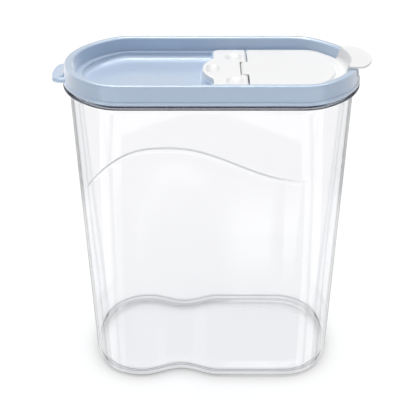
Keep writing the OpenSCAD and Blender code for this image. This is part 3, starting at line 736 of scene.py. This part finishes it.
def pale_floor():
    """White table: part of it glows for the camera, the rest is lit, so that it keeps a shadow."""
    mesh = bpy.data.meshes.new("floor")
    s = FLOOR_HALF
    mesh.from_pydata([(-s, -s, 0), (s, -s, 0), (s, s, 0), (-s, s, 0)], [], [(0, 1, 2, 3)])
    floor = bpy.data.objects.new("floor", mesh)
    floor.location.z = -FLOOR_DROP
    floor.visible_glossy = False
    bpy.context.scene.collection.objects.link(floor)
    material = bpy.data.materials.new("pale_floor")
    material.use_nodes = True
    tree = material.node_tree
    new, link = tree.nodes.new, tree.links.new
    shader, out = tree.nodes["Principled BSDF"], tree.nodes["Material Output"]
    shader.inputs["Roughness"].default_value = 0.9
    shader.inputs["Specular IOR Level"].default_value = 0.0
    glow, mix = new("ShaderNodeEmission"), new("ShaderNodeMixShader")
    tone = new("ShaderNodeCombineColor")
    glow.inputs["Color"].default_value = (1, 1, 1, 1)
    seen = seen_directly(tree)
    for slot in tone.inputs[:3]:
        link((FLOOR_TONE + FLOOR_SEEN_TONE * seen).socket, slot)
    link(tone.outputs[0], shader.inputs["Base Color"])
    link((seen * FLOOR_GLOW).socket, mix.inputs[0])
    link(shader.outputs[0], mix.inputs[1])
    link(glow.outputs[0], mix.inputs[2])
    link(mix.outputs[0], out.inputs["Surface"])
    mesh.materials.append(material)
    return floor


def studio_world():
    """White room. Its gloss holds two panels on each side and a card in front, all below table
    height, a wide glow lower down, and a band high up."""
    world = bpy.data.worlds.new("studio")
    bpy.context.scene.world = world
    world.use_nodes = True
    tree = world.node_tree
    back = tree.nodes["Background"]
    place = tree.nodes.new("ShaderNodeTexCoord")
    x, y, z = split(tree, place.outputs["Generated"])
    height = z.op("ARCSINE") * DEGREE
    turn = (x.op("ARCTAN2", y * -1.0) * DEGREE).size()
    fall = height * -1.0

    def box(value, low, high, soft):
        return ((value - low) / soft + 0.5).smooth() * ((high - value) / soft + 0.5).smooth()

    # The panels lean, so that they stand upright in the tapered corners of the bin
    lean = (fall - LEAN_FROM) / LEAN_SPAN
    leant = turn + lean * (turn * LEAN_RATE - LEAN_BASE)
    panels = (box(leant, *PANELS[0]) + box(leant, *PANELS[1])) * PANEL_GLOSS
    card = ((CARD_TURN - turn) / CARD_SOFT + 0.5).smooth()
    card = card * height.line(CARD_HEIGHT, CARD_HALF).smooth()
    gloss = (
        panels * fall.rise(PANEL_FALL, PANEL_FALL_SPAN)
        + card * CARD_GLOSS
        + fall.rise(LOW_FALL, LOW_FALL_SPAN) * LOW_GLOSS
        + box(height, *BAND) * BAND_GLOSS
        - WORLD_LIGHT
    )
    light = WORLD_LIGHT + (1.0 - WORLD_LIGHT) * seen_directly(tree)
    tree.links.new((light + gloss * rays(tree, "Glossy")).socket, back.inputs["Strength"])
    back.inputs["Color"].default_value = (1, 1, 1, 1)


def placed_light(lamp, aim, place=(0.0, 0.0, 0.0)):
    """Puts a lamp in the scene, shining along the aim."""
    light = bpy.data.objects.new(lamp.name, lamp)
    light.location = place
    light.rotation_euler = Vector(aim).to_track_quat("-Z", "Y").to_euler()
    bpy.context.scene.collection.objects.link(light)
    return light


def overhead(name, aim, angle, strength):
    """A wide soft light from above, even over the whole table."""
    lamp = bpy.data.lights.new(name, "SUN")
    lamp.energy, lamp.angle = strength, math.radians(angle)
    return placed_light(lamp, aim)


def front_fill():
    """A long low softbox, level with the lid."""
    lamp = bpy.data.lights.new("front_fill", "AREA")
    lamp.shape = "RECTANGLE"
    lamp.size, lamp.size_y = 2.4, 0.3
    lamp.energy, lamp.color = 5.2, (0.94, 0.98, 1.0)
    place = Vector((0.0, -2.2, 0.3))
    return placed_light(lamp, Vector((0.0, 0.0, 0.23)) - place, place)


def linked(name, piece, state="INCLUDE"):
    """A group of one piece that a lamp is linked to, or that it leaves out."""
    group = bpy.data.collections.new(name)
    group.objects.link(piece)
    group.collection_objects[0].light_linking.link_state = state
    return group


def camera():
    data = bpy.data.cameras.new("camera")
    data.lens, data.sensor_width = LENS, SENSOR
    data.shift_x, data.shift_y = SHIFT
    data.clip_start, data.clip_end = CLIP
    eye = bpy.data.objects.new("camera", data)
    eye.location = EYE
    eye.rotation_euler = Euler((math.radians(EYE_TILT), 0.0, 0.0))
    bpy.context.scene.collection.objects.link(eye)
    bpy.context.scene.camera = eye


floor = pale_floor()
studio_world()

# The object's lights leave the table out, and the table's own light is stopped by the bin alone
not_the_table = linked("not_the_table", floor, "EXCLUDE")
key = overhead("overhead", aim=(0.1, -0.3, -1.0), angle=40, strength=2.7)
for lamp in (key, front_fill()):
    lamp.light_linking.receiver_collection = not_the_table
table_light = overhead("table_light", aim=(0.0, 0.0, -1.0), angle=120, strength=2.93)
table_light.light_linking.receiver_collection = linked("table_only", floor)
table_light.light_linking.blocker_collection = linked("contact_shadow", shell)
camera()
bpy.context.scene.view_settings.view_transform = "Standard"
